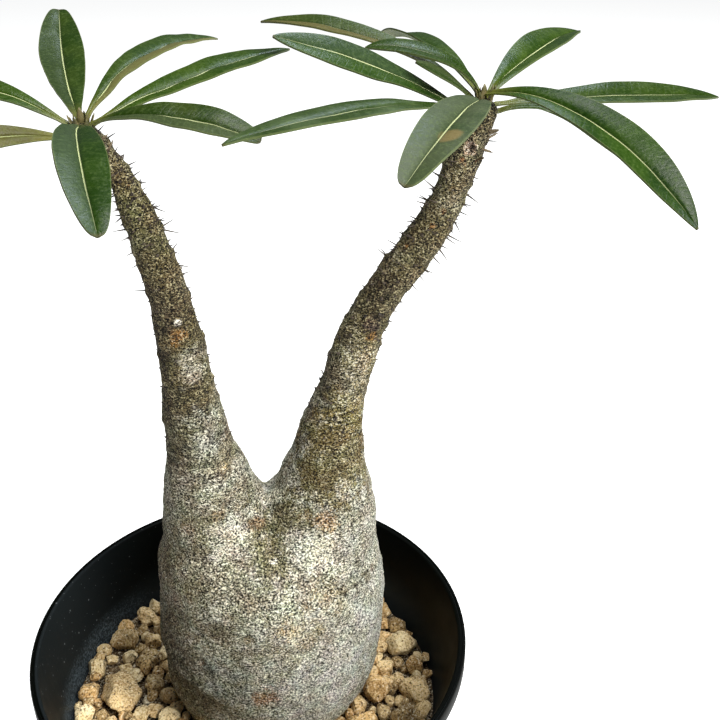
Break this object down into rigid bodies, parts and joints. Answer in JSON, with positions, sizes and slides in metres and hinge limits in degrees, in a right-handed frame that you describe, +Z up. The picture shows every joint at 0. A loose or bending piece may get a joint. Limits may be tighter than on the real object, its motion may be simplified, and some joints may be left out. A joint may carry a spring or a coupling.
{
  "type": "potted pachypodium",
  "caption": "Small two-branched caudex succulent with spiny stems and two rosettes of long green leaves, in a round tapered plastic pot topped with pumice gravel.",
  "frame": {"origin": "centre of the underside of the pot's foot", "axes": "+Z up, the way the plant grows; +X to the right as the picture shows it, so that the two branches lie in the XZ plane; -Y towards the viewer"},
  "size_m": [0.1979, 0.12, 0.2661],
  "materials": {
    "pot_plastic": "satin black moulded plastic, fine moulding texture, a little dust",
    "gravel": "dull brown pumice gravel, rough and porous",
    "bark": "silvery grey bark with fine pebbly speckle, olive and brown stains, matte",
    "leaf": "glossy deep green leaf with a pale midrib, lighter olive underside",
    "stone_tan": "porous tan pumice, matte",
    "stone_cream": "porous cream pumice, matte",
    "stone_ochre": "porous ochre pumice, matte",
    "stone_brown": "porous brown lava stone, matte"
  },
  "bodies": {
    "root": {"pot": "pot_plastic", "gravel_bed": "gravel", "plant_body": "bark", "left_leaf_back": "leaf", "left_leaf_back_right": "leaf", "left_leaf_right": "leaf", "left_leaf_low_right": "leaf", "left_leaf_front": "leaf", "left_leaf_left": "leaf", "left_leaf_low_left": "leaf", "right_leaf_back_left": "leaf", "right_leaf_inner": "leaf", "right_leaf_left": "leaf", "right_leaf_low_left": "leaf", "right_leaf_front": "leaf", "right_leaf_back_right": "leaf", "right_leaf_right": "leaf", "right_leaf_upper_right": "leaf", "right_leaf_lower_right": "leaf", "right_leaf_young": "leaf", "right_leaf_back": "leaf", "stone_01": "stone_tan", "stone_02": "stone_tan", "stone_03": "stone_cream", "stone_04": "stone_ochre", "stone_05": "stone_cream", "stone_06": "stone_brown", "stone_07": "stone_tan", "stone_08": "stone_tan", "stone_09": "stone_ochre", "stone_10": "stone_cream", "stone_11": "stone_cream", "stone_12": "stone_brown", "stone_13": "stone_ochre", "stone_14": "stone_tan", "stone_15": "stone_tan", "stone_16": "stone_brown", "stone_17": "stone_cream", "stone_18": "stone_tan", "stone_19": "stone_ochre", "stone_20": "stone_tan", "stone_21": "stone_ochre", "stone_22": "stone_brown", "stone_23": "stone_ochre", "stone_24": "stone_tan", "stone_25": "stone_tan", "stone_26": "stone_brown", "stone_27": "stone_ochre", "stone_28": "stone_tan", "stone_29": "stone_cream", "stone_30": "stone_ochre", "stone_31": "stone_tan", "stone_32": "stone_cream", "stone_33": "stone_brown", "stone_34": "stone_tan"}
  },
  "joints": []
}
